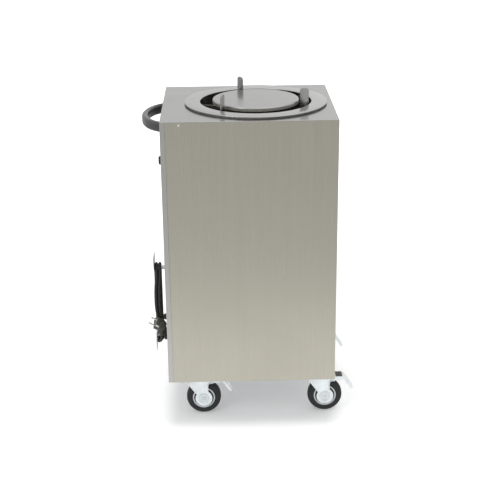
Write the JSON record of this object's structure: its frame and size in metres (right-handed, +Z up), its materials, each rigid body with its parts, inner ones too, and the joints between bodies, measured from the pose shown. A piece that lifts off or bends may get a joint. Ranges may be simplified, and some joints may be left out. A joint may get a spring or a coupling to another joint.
{
  "type": "plate dispenser cart",
  "caption": "Heated plate dispenser cart: square steel casing on braked swivel castors, round lowering plate well with turning guides, bow handle, controls, cord winder and mains plug.",
  "frame": {"origin": "on the floor, under the middle of the part without its cord", "axes": "+X away from the handle and controls, +Y across the casing, +Z up"},
  "size_m": [0.615, 0.45, 0.968],
  "materials": {
    "casing_steel": "brushed",
    "deck_steel": "brushed",
    "collar_steel": "satin",
    "lift_steel": "brushed",
    "guide_steel": "satin",
    "galvanised": "matt zinc coat",
    "zinc": "zinc plated",
    "spring_steel": "satin",
    "winder_steel": "brushed",
    "heater_sheath": "heat tinted",
    "brass": "plain",
    "grey_plastic": "matt",
    "rim_plastic": "satin",
    "black_plastic": "satin",
    "handle_plastic": "satin",
    "black_rubber": "matt",
    "cord_rubber": "matt",
    "tyre_rubber": "matt"
  },
  "bodies": {
    "cart": {"base_tray": "galvanised", "castor_pads": "galvanised", "corner_posts": "galvanised", "side_wrap": "casing_steel", "control_panel": "casing_steel", "deck": "deck_steel", "panel_screws": "zinc", "castor_bolts": "zinc", "collar_ring": "collar_steel", "dispenser_tube": "galvanised", "tube_flange": "galvanised", "guide_lugs": "galvanised", "tube_stays": "galvanised", "spring_hangers": "galvanised", "stop_buffers": "black_rubber", "lift_springs": "spring_steel", "heater_element": "heater_sheath", "heater_brackets": "galvanised", "thermostat_body": "grey_plastic", "thermostat_bulb": "brass", "switch_housing": "black_plastic", "terminal_block": "grey_plastic", "wiring_loom": "cord_rubber", "cable_gland": "black_plastic", "handle": "handle_plastic", "handle_screws": "zinc", "winder_plate": "winder_steel", "winder_standoffs": "winder_steel", "cord_winding": "cord_rubber", "cord_runs": "cord_rubber", "plug_body": "black_rubber", "plug_contacts": "brass", "castor_plates": "zinc"},
    "lift": {"lift_plate": "lift_steel", "lift_spider": "galvanised"},
    "guide_a": {"guide_fin_a": "guide_steel"},
    "guide_b": {"guide_fin_b": "guide_steel"},
    "guide_c": {"guide_fin_c": "guide_steel"},
    "knob": {"thermostat_knob": "black_plastic"},
    "rocker": {"switch_rocker": "black_plastic"},
    "fork_front_left": {"fork_front_left": "zinc", "axle_front_left": "zinc"},
    "wheel_front_left": {"rim_front_left": "rim_plastic", "tyre_front_left": "tyre_rubber"},
    "pedal_front_left": {"brake_pedal_front_left": "zinc"},
    "fork_rear_left": {"fork_rear_left": "zinc", "axle_rear_left": "zinc"},
    "wheel_rear_left": {"rim_rear_left": "rim_plastic", "tyre_rear_left": "tyre_rubber"},
    "pedal_rear_left": {"brake_pedal_rear_left": "zinc"},
    "fork_front_right": {"fork_front_right": "zinc", "axle_front_right": "zinc"},
    "wheel_front_right": {"rim_front_right": "rim_plastic", "tyre_front_right": "tyre_rubber"},
    "pedal_front_right": {"brake_pedal_front_right": "zinc"},
    "fork_rear_right": {"fork_rear_right": "zinc", "axle_rear_right": "zinc"},
    "wheel_rear_right": {"rim_rear_right": "rim_plastic", "tyre_rear_right": "tyre_rubber"},
    "pedal_rear_right": {"brake_pedal_rear_right": "zinc"}
  },
  "joints": [
    {"name": "lift_slide", "type": "slide", "parent": "cart", "child": "lift", "axis": [0, 0, 1], "range_m": [-0.52, 0], "stiffness_N_per_m": 500, "springref_m": 0.12, "deforming": ["lift_springs"]},
    {"name": "guide_a_turn", "type": "hinge", "parent": "cart", "child": "guide_a", "pos_m": [-0.02286, 0.14253, 0.91], "axis": [0, 0, 1], "range_deg": [-19, 71]},
    {"name": "guide_b_turn", "type": "hinge", "parent": "cart", "child": "guide_b", "pos_m": [-0.076, -0.11185, 0.91], "axis": [0, 0, 1], "range_deg": [-19, 71]},
    {"name": "guide_c_turn", "type": "hinge", "parent": "cart", "child": "guide_c", "pos_m": [0.17087, -0.03068, 0.91], "axis": [0, 0, 1], "range_deg": [-19, 71]},
    {"name": "knob_turn", "type": "hinge", "parent": "cart", "child": "knob", "pos_m": [-0.245, 0, 0.751], "axis": [1, 0, 0], "range_deg": [0, 300]},
    {"name": "rocker_tilt", "type": "hinge", "parent": "cart", "child": "rocker", "pos_m": [-0.243, 0.06, 0.751], "axis": [0, 1, 0], "range_deg": [0, 18]},
    {"name": "front_left_swivel", "type": "hinge", "parent": "cart", "child": "fork_front_left", "pos_m": [-0.183, -0.149, 0.125], "axis": [0, 0, 1], "continuous": true},
    {"name": "front_left_roll", "type": "hinge", "parent": "fork_front_left", "child": "wheel_front_left", "pos_m": [-0.144, -0.149, 0.052], "axis": [0, 1, 0], "continuous": true},
    {"name": "front_left_brake", "type": "hinge", "parent": "fork_front_left", "child": "pedal_front_left", "pos_m": [-0.123, -0.149, 0.109], "axis": [0, 1, 0], "range_deg": [0, 12]},
    {"name": "rear_left_swivel", "type": "hinge", "parent": "cart", "child": "fork_rear_left", "pos_m": [-0.183, 0.149, 0.125], "axis": [0, 0, 1], "continuous": true},
    {"name": "rear_left_roll", "type": "hinge", "parent": "fork_rear_left", "child": "wheel_rear_left", "pos_m": [-0.144, 0.149, 0.052], "axis": [0, 1, 0], "continuous": true},
    {"name": "rear_left_brake", "type": "hinge", "parent": "fork_rear_left", "child": "pedal_rear_left", "pos_m": [-0.123, 0.149, 0.109], "axis": [0, 1, 0], "range_deg": [0, 12]},
    {"name": "front_right_swivel", "type": "hinge", "parent": "cart", "child": "fork_front_right", "pos_m": [0.183, -0.149, 0.125], "axis": [0, 0, 1], "continuous": true},
    {"name": "front_right_roll", "type": "hinge", "parent": "fork_front_right", "child": "wheel_front_right", "pos_m": [0.222, -0.149, 0.052], "axis": [0, 1, 0], "continuous": true},
    {"name": "front_right_brake", "type": "hinge", "parent": "fork_front_right", "child": "pedal_front_right", "pos_m": [0.243, -0.149, 0.109], "axis": [0, 1, 0], "range_deg": [0, 12]},
    {"name": "rear_right_swivel", "type": "hinge", "parent": "cart", "child": "fork_rear_right", "pos_m": [0.183, 0.149, 0.125], "axis": [0, 0, 1], "continuous": true},
    {"name": "rear_right_roll", "type": "hinge", "parent": "fork_rear_right", "child": "wheel_rear_right", "pos_m": [0.222, 0.149, 0.052], "axis": [0, 1, 0], "continuous": true},
    {"name": "rear_right_brake", "type": "hinge", "parent": "fork_rear_right", "child": "pedal_rear_right", "pos_m": [0.243, 0.149, 0.109], "axis": [0, 1, 0], "range_deg": [0, 12]}
  ]
}
